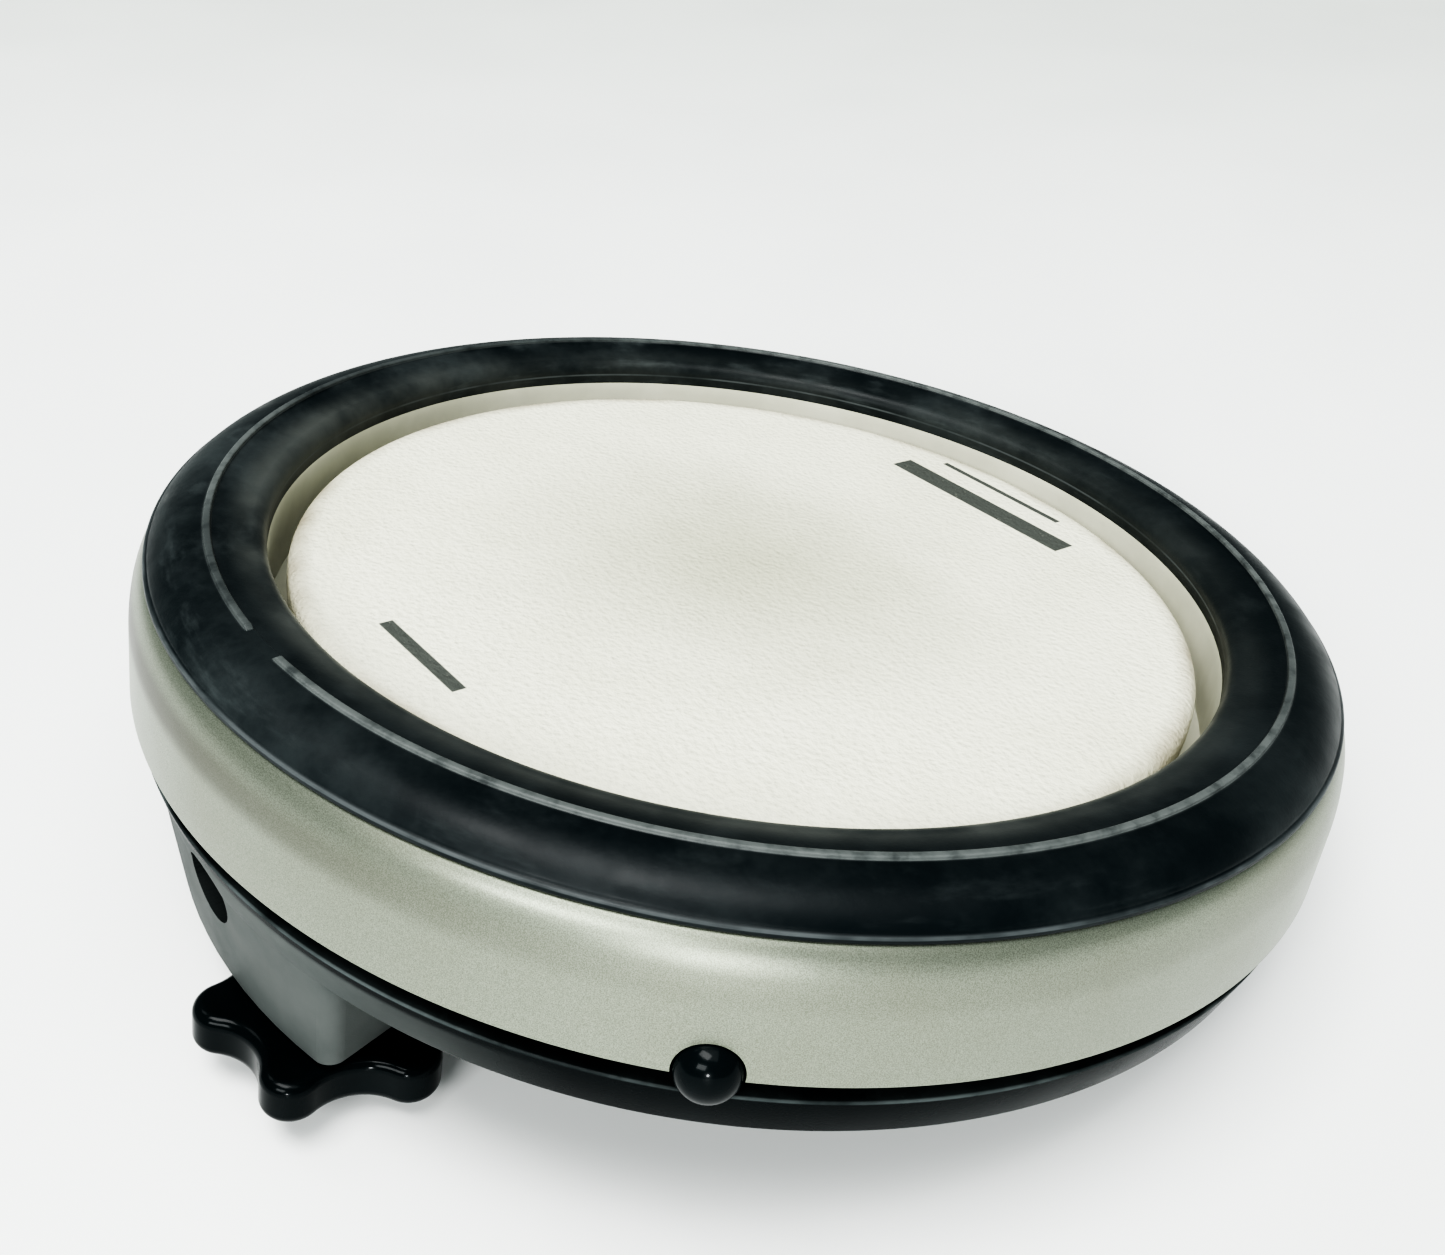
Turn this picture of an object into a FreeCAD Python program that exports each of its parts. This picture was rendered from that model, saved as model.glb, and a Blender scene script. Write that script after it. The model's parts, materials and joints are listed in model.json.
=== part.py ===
import FreeCAD, Part
import math
import os
import Sketcher
from FreeCAD import Placement, Rotation, Vector

# An electronic drum pad: a soft round head in a rubber-rimmed case, with a rod clamp and a
# side control. The origin is the centre of the flat underside. +Z is the way the head faces,
# and -Y points to the rod clamp. Lengths are in millimetres and angles in degrees.

SIZES = {
    # case outline, as radii about Z and heights above the underside
    "shell_radius": 127.4,
    "shell_bottom": 13.9,
    "shell_wall": 2.4,
    "seam_radius": 124.3,
    "seam_height": 39.0,
    "shoulder_radius": 125.0,
    "shoulder_height": 37.6,
    "flank_height": 24.3,
    "ledge_radius": 108.0,
    "ledge_thickness": 2.5,
    "frame_radius": 121.2,
    "platform_thickness": 2.0,
    # base tray
    "base_radius": 123.0,
    "lip_radius": 125.8,
    "lip_height": 9.5,
    "spigot_radius": 121.5,
    "spigot_inner": 119.0,
    "spigot_height": 16.0,
    "tray_floor": 2.5,
    # head and rim
    "opening_radius": 101.5,
    "frame_wall": 2.5,
    "frame_floor_low": 19.0,
    "frame_floor_top": 21.5,
    "frame_eye_radius": 30.0,
    "head_radius": 97.5,
    "head_top": 36.0,
    "head_thickness": 8.0,
    "head_edge": 3.0,
    "plate_thickness": 1.6,
    "damper_radius": 96.0,
    "damper_inner": 78.0,
    "sensor_radius": 13.5,
    "sensor_thickness": 0.4,
    "tape_radius": 12.0,
    "tape_thickness": 0.8,
    "sheet_inner": 106.0,
    "sheet_outer": 119.5,
    "sheet_thickness": 0.6,
    "ridge_radius": 112.9,
    "ridge_half_width": 0.6,
    "ridge_foot": 46.0,
    "ridge_rise": 0.7,
    "ridge_gap": 10.4,
    # rod clamp
    "housing_drop": 24.0,
    "housing_back": 58.0,
    "housing_knee": 98.0,
    "housing_wall": 2.5,
    "housing_corner": 3.5,
    "housing_top_radius": 123.1,
    "housing_top_half": 36.9,
    "housing_low_radius": 118.4,
    "housing_low_half": 31.4,
    "room_half": 24.8,
    "room_radius": 115.5,
    "rod_axis_drop": 2.3,
    "rod_hole_radius": 7.0,
    "rod_bore_radius": 5.35,
    "bolt_x": 11.6,
    "bolt_reach": 101.6,
    "bolt_tip": 6.0,
    "thread_radius": 4.0,
    "block_left": 14.0,
    "block_right": 24.2,
    "block_front": 112.0,
    "block_back": 78.0,
    "block_top": 11.0,
    "split_half": 1.6,
    "ear_half": 33.0,
    "ear_thickness": 3.5,
    "ear_screw_x": 29.0,
    "jaw_left": 9.7,
    "jaw_right": 20.9,
    "jaw_low": 12.7,
    "jaw_gap": 0.3,
    "boss_radius": 9.0,
    "boss_bottom": 21.2,
    "star_top": 26.0,
    "star_thickness": 9.0,
    "star_tip": 26.8,
    "star_valley": 20.2,
    "star_lobe": 5.8,
    "star_turned": 9.3,
    "hub_radius": 8.5,
    "hub_rise": 4.5,
    # side control
    "control_angle": -42.4,
    "control_height": 15.0,
    "control_radius": 5.5,
    "control_face": 131.0,
    "control_back": 117.5,
    "control_notch": 5.8,
    "pot_back": 105.0,
    "pot_front": 112.0,
    "pot_radius": 7.0,
    "bushing_radius": 3.5,
    "shaft_radius": 3.0,
    # output jack
    "jack_x": 9.0,
    "jack_drop": 16.4,
    "jack_bore": 3.25,
    "jack_bushing": 4.5,
    "jack_mouth": 54.4,
    "jack_depth": 22.0,
    "jack_ring": 5.9,
    "jack_half": 4.9,
    # fasteners and board
    "post_circle": 114.0,
    "post_radius": 4.0,
    "screw_radius": 1.5,
    "screw_head": 3.0,
    "clamp_screw_length": 9.0,
    "well_radius": 3.9,
    "well_depth": 4.0,
    "boss_height": 8.0,
    "frame_screw_circle": 111.5,
    "pillar_circle": 64.0,
    "pillar_radius": 3.5,
    "board_x": -32.0,
    "board_y": 8.0,
    "board_length": 50.0,
    "board_width": 34.0,
    "board_height": 7.0,
    "board_thickness": 1.6,
}

SCREW_GAP = 0.05    # radial room round a screw in its hole
THREAD_GAP = 0.05   # radial room round the clamp screw and the control's shaft
CASE_SCREWS = 8
FRAME_PILLARS = 6
STAR_LOBES = 6

doc = FreeCAD.newDocument("drum_pad")
sheet = doc.addObject("Spreadsheet::Sheet", "Sizes")
subparts = []


class Dim:
    """A length with its value and the sheet expression that gives it."""

    def __init__(self, value, text):
        self.value = value
        self.text = text

    def __add__(self, other):
        other = dim(other)
        return Dim(self.value + other.value, f"({self.text} + {other.text})")

    def __sub__(self, other):
        other = dim(other)
        return Dim(self.value - other.value, f"({self.text} - {other.text})")

    def __mul__(self, number):
        return Dim(self.value * number, f"({self.text} * {number})")

    def __neg__(self):
        return Dim(-self.value, f"(0 - {self.text})")

    def __radd__(self, other):
        return dim(other) + self

    def __rsub__(self, other):
        return dim(other) - self


def dim(value):
    return value if isinstance(value, Dim) else Dim(float(value), f"({float(value)})")


def size(alias):
    return Dim(SIZES[alias], f"Sizes.{alias}")


def fill_sheet():
    for row, (alias, value) in enumerate(SIZES.items(), start=1):
        sheet.set(f"A{row}", alias)
        sheet.set(f"B{row}", str(value))
        sheet.setAlias(f"B{row}", alias)
    doc.recompute()


def bind(thing, prop, value):
    thing.setExpression(prop, dim(value).text)


def keep(thing, name):
    """Make a finished object a sub-part, whose Label names its file."""
    thing.Label = name
    subparts.append(thing)
    return thing


# ---- sketches ----

def new_body(name):
    body = doc.addObject("PartDesign::Body", name)
    body.AllowCompound = True
    return body


def new_sketch(body, name, role="XY_Plane", offset=0.0):
    sketch = body.newObject("Sketcher::SketchObject", name)
    plane = [f for f in body.Origin.OriginFeatures if f.Role == role][0]
    sketch.AttachmentSupport = [(plane, "")]
    sketch.MapMode = "FlatFace"
    sketch.AttachmentOffset = Placement(Vector(0, 0, dim(offset).value), Rotation())
    bind(sketch, "AttachmentOffset.Base.z", offset)
    return sketch


def pin_coordinate(sketch, kind, geo, point, value):
    """Hold one coordinate of a sketch point at a sheet value, whatever its sign."""
    axis = -2 if kind == "DistanceX" else -1
    if abs(value.value) < 1e-9:
        sketch.addConstraint(Sketcher.Constraint("PointOnObject", geo, point, axis))
        return
    if value.value > 0:
        made = Sketcher.Constraint(kind, -1, 1, geo, point, value.value)
        text = value.text
    else:
        made = Sketcher.Constraint(kind, geo, point, -1, 1, -value.value)
        text = f"0 - {value.text}"
    index = sketch.addConstraint(made)
    sketch.setExpression(f"Constraints[{index}]", text)


def arc_between(start, end, radius):
    """The shorter arc from start to end: a positive radius turns left, a negative one right."""
    chord = end - start
    left = Vector(-chord.y, chord.x, 0).normalize()
    reach = math.sqrt(radius * radius - chord.Length ** 2 / 4)
    side = 1 if radius > 0 else -1
    centre = (start + end) * 0.5 + left * (reach * side)
    first, last = (start, end) if side > 0 else (end, start)
    whole = Part.Circle(centre, Vector(0, 0, 1), abs(radius))
    return Part.ArcOfCircle(whole, bearing(first - centre), bearing(last - centre))


def bearing(vector):
    return math.atan2(vector.y, vector.x)


def outline(sketch, corners):
    """A closed outline. A corner is (across, up), with a radius after it if an arc leads there."""
    points = [(dim(c[0]), dim(c[1]), dim(c[2]) if len(c) > 2 else None) for c in corners]
    ends = []
    for index, (across, up, radius) in enumerate(points):
        before = points[index - 1]
        start = Vector(before[0].value, before[1].value, 0)
        end = Vector(across.value, up.value, 0)
        if radius is None:
            ends.append((sketch.addGeometry(Part.LineSegment(start, end)), 1, 2))
            continue
        geo = sketch.addGeometry(arc_between(start, end, radius.value))
        ends.append((geo, 1, 2) if radius.value > 0 else (geo, 2, 1))
        held = sketch.addConstraint(Sketcher.Constraint("Radius", geo, abs(radius.value)))
        sketch.setExpression(f"Constraints[{held}]", f"abs({radius.text})")
    for index, (geo, _, last) in enumerate(ends):
        following = ends[(index + 1) % len(ends)]
        sketch.addConstraint(Sketcher.Constraint("Coincident", geo, last, following[0],
                                                 following[1]))
        pin_coordinate(sketch, "DistanceX", geo, last, points[index][0])
        pin_coordinate(sketch, "DistanceY", geo, last, points[index][1])


def circle(sketch, across, up, radius):
    across, up, radius = dim(across), dim(up), dim(radius)
    centre = Vector(across.value, up.value, 0)
    geo = sketch.addGeometry(Part.Circle(centre, Vector(0, 0, 1), radius.value))
    held = sketch.addConstraint(Sketcher.Constraint("Radius", geo, radius.value))
    sketch.setExpression(f"Constraints[{held}]", radius.text)
    pin_coordinate(sketch, "DistanceX", geo, 3, across)
    pin_coordinate(sketch, "DistanceY", geo, 3, up)


def rectangle(sketch, left, right, low, high):
    outline(sketch, [(left, low), (right, low), (right, high), (left, high)])


# ---- features ----

def revolve(body, name, corners, axis="V_Axis"):
    """Turn an outline, drawn on the XZ plane, once round the sketch's own axis."""
    sketch = new_sketch(body, name + "_outline", "XZ_Plane")
    outline(sketch, corners)
    feature = body.newObject("PartDesign::Revolution", name)
    feature.Profile = sketch
    feature.ReferenceAxis = (sketch, [axis])
    feature.Angle = 360
    return feature


def grow(body, name, kind, sketch, length, backwards=False):
    feature = body.newObject(f"PartDesign::{kind}", name)
    feature.Profile = sketch
    feature.Length = dim(length).value
    bind(feature, "Length", length)
    feature.Reversed = backwards
    return feature


def pad_circles(body, name, spots, radius, low, high):
    """Round columns from one height to another, at each (x, y)."""
    sketch = new_sketch(body, name + "_circles", offset=low)
    for x, y in spots:
        circle(sketch, x, y, radius)
    return grow(body, name, "Pad", sketch, dim(high) - low)


def bore_circles(body, name, spots, radius, low, high):
    """Round holes from one height up to another, at each (x, y)."""
    sketch = new_sketch(body, name + "_circles", offset=low)
    for x, y in spots:
        circle(sketch, x, y, radius)
    return grow(body, name, "Pocket", sketch, dim(high) - low, backwards=True)


def pattern(body, name, originals, count):
    feature = body.newObject("PartDesign::PolarPattern", name)
    feature.Originals = originals
    feature.Axis = (originals[0].Profile[0], ["N_Axis"])
    feature.Angle = 360
    feature.Occurrences = count
    body.Tip = feature
    return feature


def fillet(body, name, feature, radius, wanted):
    """Round the edges of a feature for which wanted(edge) is true."""
    doc.recompute()
    edges = feature.Shape.Edges
    names = [f"Edge{i}" for i, edge in enumerate(edges, start=1) if wanted(edge)]
    made = body.newObject("PartDesign::Fillet", name)
    made.Base = (feature, names)
    made.Radius = dim(radius).value
    bind(made, "Radius", radius)
    return made


def ring_spot(circle_size, degrees):
    """The (x, y) of a place on a pitch circle, as sheet lengths."""
    turn = math.radians(degrees)
    return circle_size * math.cos(turn), circle_size * math.sin(turn)


# ---- head stack ----

def make_disc(name, radius, low, high, inner=None):
    body = new_body(name)
    corners = [(inner or 0, low), (radius, low), (radius, high), (inner or 0, high)]
    revolve(body, name + "_disc", corners)
    return keep(body, name)


def make_head():
    """The soft playing head: a thick disc with a rounded top edge."""
    body = new_body("playing_head")
    low = size("head_top") - size("head_thickness")
    edge = size("head_edge")
    revolve(body, "head_disc", [
        (0, low), (size("head_radius"), low),
        (size("head_radius"), size("head_top") - edge),
        (size("head_radius") - edge, size("head_top"), edge),
        (0, size("head_top"))])
    keep(body, "playing_head")


def make_head_stack():
    make_head()
    plate_top = size("head_top") - size("head_thickness")
    plate_low = plate_top - size("plate_thickness")
    tape_low = plate_low - size("tape_thickness")
    make_disc("head_plate", size("head_radius") - 0.5, plate_low, plate_top)
    make_disc("head_damper", size("damper_radius"), size("frame_floor_top"), plate_low,
              size("damper_inner"))
    make_disc("sensor_tape", size("tape_radius"), tape_low, plate_low)
    make_disc("head_sensor", size("sensor_radius"), tape_low - size("sensor_thickness"), tape_low)


# ---- case ----

def make_rubber_rim():
    """The rim's rubber: a long outer curve, a thin raised ridge and a soft inner shoulder."""
    body = new_body("rubber_rim")
    inner = size("opening_radius")
    foot = size("ridge_foot")
    ridge_in = size("ridge_radius") - size("ridge_half_width")
    ridge_out = size("ridge_radius") + size("ridge_half_width")
    seam = size("seam_height")
    under = seam + 0.1
    ridge_top = foot + size("ridge_rise")
    revolve(body, "rim_section", [
        (inner, seam - 1.0), (inner + size("frame_wall"), seam - 1.0),
        (inner + size("frame_wall"), under),
        (size("seam_radius") - 0.9, under), (size("seam_radius") - 0.9, seam + 0.6),
        (size("seam_radius") - 0.2, seam + 0.7, 0.5),
        (ridge_out + 0.2, foot, 12.3),
        (ridge_out - 0.1, ridge_top - 0.1), (ridge_out - 0.3, ridge_top, 0.3),
        (ridge_in + 0.3, ridge_top), (ridge_in + 0.1, ridge_top - 0.2, 0.3),
        (ridge_in - 0.1, foot - 0.3),
        (inner + 3.2, foot - 1.8), (inner, seam + 2.4, 3.9)])
    gap = new_sketch(body, "ridge_gap_outline", offset=foot + 0.02)
    half = size("ridge_gap") * 0.5
    rectangle(gap, -half, half, -(ridge_out + 1.6), -(ridge_in - 1.6))
    grow(body, "ridge_gap_cut", "Pocket", gap, size("ridge_rise") + 1, backwards=True)
    keep(body, "rubber_rim")


def control_tool(name, radius):
    """A cylinder along the side control's axis, for cutting its notch."""
    tool = doc.addObject("Part::Cylinder", name)
    bind(tool, "Radius", radius)
    bind(tool, "Height", size("shell_radius") - size("control_back") + 8)
    turn = Rotation(Vector(0, 0, 1), SIZES["control_angle"])
    along = turn.multVec(Vector(1, 0, 0))
    start = along * (SIZES["control_back"] - 1) + Vector(0, 0, SIZES["control_height"])
    tool.Placement = Placement(start, turn * Rotation(Vector(0, 1, 0), 90))
    return tool


def cut_notch(body, name):
    """Take the side control's notch out of a case part."""
    cut = doc.addObject("Part::Cut", name)
    cut.Base = body
    cut.Tool = control_tool(name + "_notch", size("control_notch"))
    return keep(cut, name)


def make_upper_shell():
    """The painted shell: a thin flared wall, an inner ledge, and screw posts under the ledge."""
    body = new_body("shell_blank")
    wall = size("shell_wall")
    outer = size("shell_radius")
    low = size("shell_bottom")
    seam = size("seam_height")
    ledge_top = seam - 0.5 - size("platform_thickness")
    ledge_low = ledge_top - size("ledge_thickness")
    lip_inner = size("frame_radius") + 0.3
    revolve(body, "shell_section", [
        (outer - wall, low), (outer - 0.4, low), (outer, low + 0.4),
        (outer - 0.2, size("flank_height")),
        (size("shoulder_radius"), size("shoulder_height"), 46.0),
        (size("seam_radius") - 0.9, seam, 2.0),
        (lip_inner, seam), (lip_inner, ledge_top),
        (size("ledge_radius"), ledge_top), (size("ledge_radius"), ledge_low),
        (size("shoulder_radius") - wall, ledge_low),
        (outer - wall - 0.2, size("flank_height"))])
    spot = [ring_spot(size("post_circle"), 180.0 / CASE_SCREWS)]
    post = pad_circles(body, "post", spot, size("post_radius"), size("boss_height"),
                       ledge_low + 1.0)
    pattern(body, "posts", [post], CASE_SCREWS)
    hole = bore_circles(body, "post_hole", spot, size("screw_radius") + SCREW_GAP,
                        size("boss_height"), size("boss_height") + 14)
    pattern(body, "post_holes", [hole], CASE_SCREWS)
    spot = [ring_spot(size("frame_screw_circle"), 0.0)]
    hole = bore_circles(body, "ledge_hole", spot, size("screw_radius") + SCREW_GAP,
                        ledge_low - 0.5, ledge_top + 0.5)
    pattern(body, "ledge_holes", [hole], CASE_SCREWS)
    cut_notch(body, "upper_shell")


def make_inner_frame():
    """The frame that holds the head and carries the rim: wall, floor ring and platform."""
    body = new_body("inner_frame")
    seam = size("seam_height")
    wall_out = size("opening_radius") + size("frame_wall")
    top = seam - 0.5
    low = top - size("platform_thickness")
    revolve(body, "frame_section", [
        (size("frame_eye_radius"), size("frame_floor_low")), (wall_out, size("frame_floor_low")),
        (wall_out, low), (size("frame_radius"), low), (size("frame_radius"), top),
        (wall_out, top), (wall_out, seam - 1.0), (size("opening_radius"), seam - 1.0),
        (size("opening_radius"), size("frame_floor_top")),
        (size("frame_eye_radius"), size("frame_floor_top"))])
    spot = [ring_spot(size("frame_screw_circle"), 0.0)]
    hole = bore_circles(body, "platform_hole", spot, size("screw_radius") + SCREW_GAP,
                        low - 0.5, top + 0.5)
    pattern(body, "platform_holes", [hole], CASE_SCREWS)
    keep(body, "inner_frame")


def make_rim_switch(name, first_angle):
    """A thin switch sheet under one half of the rim, as a part-turn ring."""
    body = new_body(name)
    sketch = new_sketch(body, name + "_section", "XZ_Plane")
    low = size("seam_height") - 0.5
    rectangle(sketch, size("sheet_inner"), size("sheet_outer"), low, low + size("sheet_thickness"))
    feature = body.newObject("PartDesign::Revolution", name + "_arc")
    feature.Profile = sketch
    feature.ReferenceAxis = (sketch, ["V_Axis"])
    feature.Angle = 172
    body.Placement = Placement(Vector(), Rotation(Vector(0, 0, 1), first_angle))
    keep(body, name)


def housing_corners(radius, half):
    """One level of the clamp housing, with sides that run back and inwards to a knee."""
    corner, back, knee = size("housing_corner"), size("housing_back"), size("housing_knee")
    reach = outer_reach(radius, half)
    knee_half = half - (reach - knee) * 0.25
    face_half = half - corner * 0.96
    right = [(face_half, -outer_reach(radius, face_half), radius),
             (half - corner * 0.24, -(reach - corner * 0.97), corner),
             (knee_half, -knee), (knee_half, -(back + corner)),
             (knee_half - corner, -back, corner)]
    left = [(-(knee_half - corner), -back), (-knee_half, -(back + corner), corner),
            (-knee_half, -knee), (-(half - corner * 0.24), -(reach - corner * 0.97)),
            (-face_half, -outer_reach(radius, face_half), corner)]
    return left + right


def add_housing(body):
    """The clamp housing under the tray: drafted walls, and a room that opens upwards."""
    top = new_sketch(body, "housing_top_outline", offset=1.0)
    outline(top, housing_corners(size("housing_top_radius"), size("housing_top_half")))
    low = new_sketch(body, "housing_low_outline", offset=-size("housing_drop"))
    outline(low, housing_corners(size("housing_low_radius"), size("housing_low_half")))
    block = body.newObject("PartDesign::AdditiveLoft", "housing_block")
    block.Profile = top
    block.Sections = [low]
    block.Ruled = True
    half, back = size("room_half"), size("housing_back") + size("housing_wall")
    reach = outer_reach(size("room_radius"), half)
    room = new_sketch(body, "housing_room_outline", offset=size("tray_floor"))
    outline(room, [(-half, -back), (-half, -reach), (half, -reach, size("room_radius")),
                   (half, -back)])
    grow(body, "housing_room", "Pocket", room,
         size("tray_floor") + size("housing_drop") - size("housing_wall"))


def outer_reach(radius, half):
    """How far out a circle of the radius stands at a half width."""
    value = math.sqrt(radius.value ** 2 - half.value ** 2)
    return Dim(value, f"sqrt({radius.text}^2 - {half.text}^2)")


def bolt_spot():
    return [(size("bolt_x"), -size("bolt_reach"))]


def bore_housing(body):
    """The holes of the clamp housing: rod, star knob's hub, clamp screws and output jack."""
    sketch = new_sketch(body, "rod_hole_circle", "XZ_Plane", offset=size("block_front") - 4)
    circle(sketch, 0, -size("rod_axis_drop"), size("rod_hole_radius"))
    grow(body, "rod_hole", "Pocket", sketch, 20, backwards=True)
    floor_low = -(size("housing_drop") + 1)
    bore_circles(body, "hub_hole", bolt_spot(), size("boss_radius") + size("jaw_gap"),
                 floor_low, floor_low + size("housing_wall") + 2)
    ear_tip = size("tray_floor") + size("ear_thickness") - size("clamp_screw_length")
    bore_circles(body, "clamp_screw_holes", clamp_screw_spots(),
                 size("screw_radius") + SCREW_GAP, ear_tip - 0.2, size("tray_floor") + 0.5)
    sketch = new_sketch(body, "jack_hole_circle", "XZ_Plane", offset=size("housing_back") - 2)
    circle(sketch, size("jack_x"), -size("jack_drop"), size("jack_bushing") + 0.1)
    grow(body, "jack_hole", "Pocket", sketch, size("housing_wall") + 3, backwards=True)


def make_base_tray():
    """The black lower case: floor, tapered wall with a lip, spigot, bosses and housing."""
    body = new_body("base_blank")
    floor = size("tray_floor")
    revolve(body, "tray_section", [
        (0, 0), (size("base_radius") - 0.8, 0), (size("base_radius") + 0.1, 0.8, 0.9),
        (size("lip_radius"), size("lip_height") - 0.4),
        (size("lip_radius") - 0.4, size("lip_height"), 0.4),
        (size("spigot_radius"), size("lip_height")),
        (size("spigot_radius"), size("spigot_height")),
        (size("spigot_inner"), size("spigot_height")),
        (size("spigot_inner"), floor), (0, floor)])
    add_housing(body)
    bore_housing(body)
    spot = [ring_spot(size("post_circle"), 180.0 / CASE_SCREWS)]
    boss = pad_circles(body, "screw_boss", spot, size("well_radius") + 1.4, floor - 0.5,
                       size("boss_height"))
    pattern(body, "screw_bosses", [boss], CASE_SCREWS)
    well = bore_circles(body, "screw_well", spot, size("well_radius"), 0, size("well_depth"))
    pattern(body, "screw_wells", [well], CASE_SCREWS)
    hole = bore_circles(body, "boss_bore", spot, size("screw_radius") + 0.3,
                        size("well_depth") - 0.5, size("boss_height") + 0.5)
    pattern(body, "boss_bores", [hole], CASE_SCREWS)
    pillar = pad_circles(body, "pillar", [(size("pillar_circle"), 0)], size("pillar_radius"),
                         floor - 0.5, size("frame_floor_low"))
    pattern(body, "pillars", [pillar], FRAME_PILLARS)
    pad_circles(body, "board_posts", board_spots(), size("pillar_radius") - 0.5, floor - 0.5,
                size("board_height"))
    bore_circles(body, "board_post_holes", board_spots(), 1.25, floor, size("board_height") + 0.5)
    recess = new_sketch(body, "label_recess_outline")
    rectangle(recess, -27, 27, 47, 73)
    grow(body, "label_recess", "Pocket", recess, 0.5, backwards=True)
    cut_notch(body, "base_tray")


def make_rating_label():
    """A blank label in its recess under the tray."""
    body = new_body("rating_label")
    sketch = new_sketch(body, "label_outline", offset=0.2)
    rectangle(sketch, -26.5, 26.5, 47.5, 72.5)
    grow(body, "label_sheet", "Pad", sketch, 0.3)
    keep(body, "rating_label")


# ---- fasteners ----

def clamp_screw_spots():
    across = size("ear_screw_x")
    return [(across * side, y) for side in (-1, 1) for y in (-84, -106)]


def board_spots():
    half_length = size("board_length") * 0.5 - 4
    half_width = size("board_width") * 0.5 - 4
    return [(size("board_x") + half_length * side, size("board_y") + half_width * end)
            for side in (-1, 1) for end in (-1, 1)]


def make_screws(name, spots, head_low, head_rise, tip, radius, head, slot_up, count=1):
    """Pan-head screws standing along Z, with the head between two heights."""
    body = new_body(name)
    head_part = pad_circles(body, name + "_head", spots, head, head_low,
                            dim(head_low) + head_rise)
    shank_low = dim(head_low) + head_rise if slot_up else dim(tip)
    shank_high = dim(tip) if slot_up else dim(head_low)
    shank = pad_circles(body, name + "_shank", spots, radius, shank_low, shank_high)
    if count > 1:
        pattern(body, name + "_ring", [head_part, shank], count)
    keep(body, name)


def make_fasteners():
    screw = size("screw_radius")
    head = size("screw_head")
    case_spot = [ring_spot(size("post_circle"), 180.0 / CASE_SCREWS)]
    frame_spot = [ring_spot(size("frame_screw_circle"), 0.0)]
    ledge_low = size("seam_height") - 0.5 - size("platform_thickness") - size("ledge_thickness")
    make_screws("case_screws", case_spot, size("well_depth") - 2.2, 2.2,
                size("boss_height") + 12, screw, head, True, CASE_SCREWS)
    make_screws("frame_screws", frame_spot, ledge_low - 2.0, 2.0,
                size("seam_height") - 0.8, screw, head, True, CASE_SCREWS)
    ear_top = size("tray_floor") + size("ear_thickness")
    make_screws("clamp_screws", clamp_screw_spots(), ear_top, 2.0,
                ear_top - size("clamp_screw_length"), screw, head, False)
    make_screws("board_screws", board_spots(), size("board_height") + size("board_thickness"),
                1.6, 3.0, 1.2, 2.4, False)


# ---- rod clamp ----

def bore_rod(body):
    """The rod's bore along Y, right through the clamp."""
    sketch = new_sketch(body, "rod_bore_circle", "XZ_Plane", offset=size("block_back") - 1)
    circle(sketch, 0, -size("rod_axis_drop"), size("rod_bore_radius"))
    length = size("block_front") - size("block_back") + 2
    grow(body, "rod_bore", "Pocket", sketch, length, backwards=True)


def pad_box(body, name, left, right, front, back, low, high):
    """A block between two heights, from a front to a back distance along -Y."""
    sketch = new_sketch(body, name + "_outline", offset=low)
    rectangle(sketch, left, right, -dim(front), -dim(back))
    grow(body, name, "Pad", sketch, dim(high) - low)


def make_clamp_body():
    """The fixed cast half: the rod's upper groove, the bolt's thread, two guides and two ears."""
    body = new_body("clamp_body")
    front, back, gap = size("block_front"), size("block_back"), size("jaw_gap")
    left, right, ear = size("block_left"), size("block_right"), size("ear_half")
    split = size("split_half") - size("rod_axis_drop")
    top, floor, low = size("block_top"), size("tray_floor"), gap - size("jaw_low")
    pad_box(body, "block", -left, right, front, back, split, top)
    pad_box(body, "left_guide", -left, -(size("jaw_left") + gap), front, back, low, split + 1)
    pad_box(body, "right_guide", size("jaw_right") + gap, right, front, back, low, split + 1)
    pad_box(body, "ears", -ear, ear, front, back, floor, floor + size("ear_thickness"))
    bore_rod(body)
    bore_circles(body, "thread_hole", bolt_spot(), size("thread_radius") + THREAD_GAP,
                 split - 1, top - 1)
    bore_circles(body, "ear_holes", clamp_screw_spots(), size("screw_radius") + SCREW_GAP,
                 floor - 1, floor + size("ear_thickness") + 1)
    keep(body, "clamp_body")


def make_clamp_jaw():
    """The moving half: a plate with the rod's lower groove, and a boss for the star knob."""
    body = new_body("clamp_jaw")
    top = -(size("rod_axis_drop") + size("split_half"))
    low, bottom = -size("jaw_low"), -size("boss_bottom")
    pad_box(body, "jaw_plate", -size("jaw_left"), size("jaw_right"), size("block_front"),
            size("block_back"), low, top)
    pad_circles(body, "jaw_boss", bolt_spot(), size("boss_radius"), bottom, low + 1)
    bore_rod(body)
    bore_circles(body, "bolt_hole", bolt_spot(), size("thread_radius") + size("jaw_gap"),
                 bottom - 1, top + 1)
    keep(body, "clamp_jaw")


def make_clamp_bolt():
    """The clamp bolt: a stud moulded into the star knob, with a bevelled tip."""
    body = new_body("clamp_bolt")
    radius, tip = size("thread_radius"), size("bolt_tip")
    low = -(size("star_top") + 7.0)
    revolve(body, "bolt_turned", [
        (0, low), (radius, low), (radius, tip - 1.0), (radius - 1.0, tip), (0, tip)])
    body.Placement = Placement(Vector(SIZES["bolt_x"], -SIZES["bolt_reach"], 0), Rotation())
    keep(body, "clamp_bolt")


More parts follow.
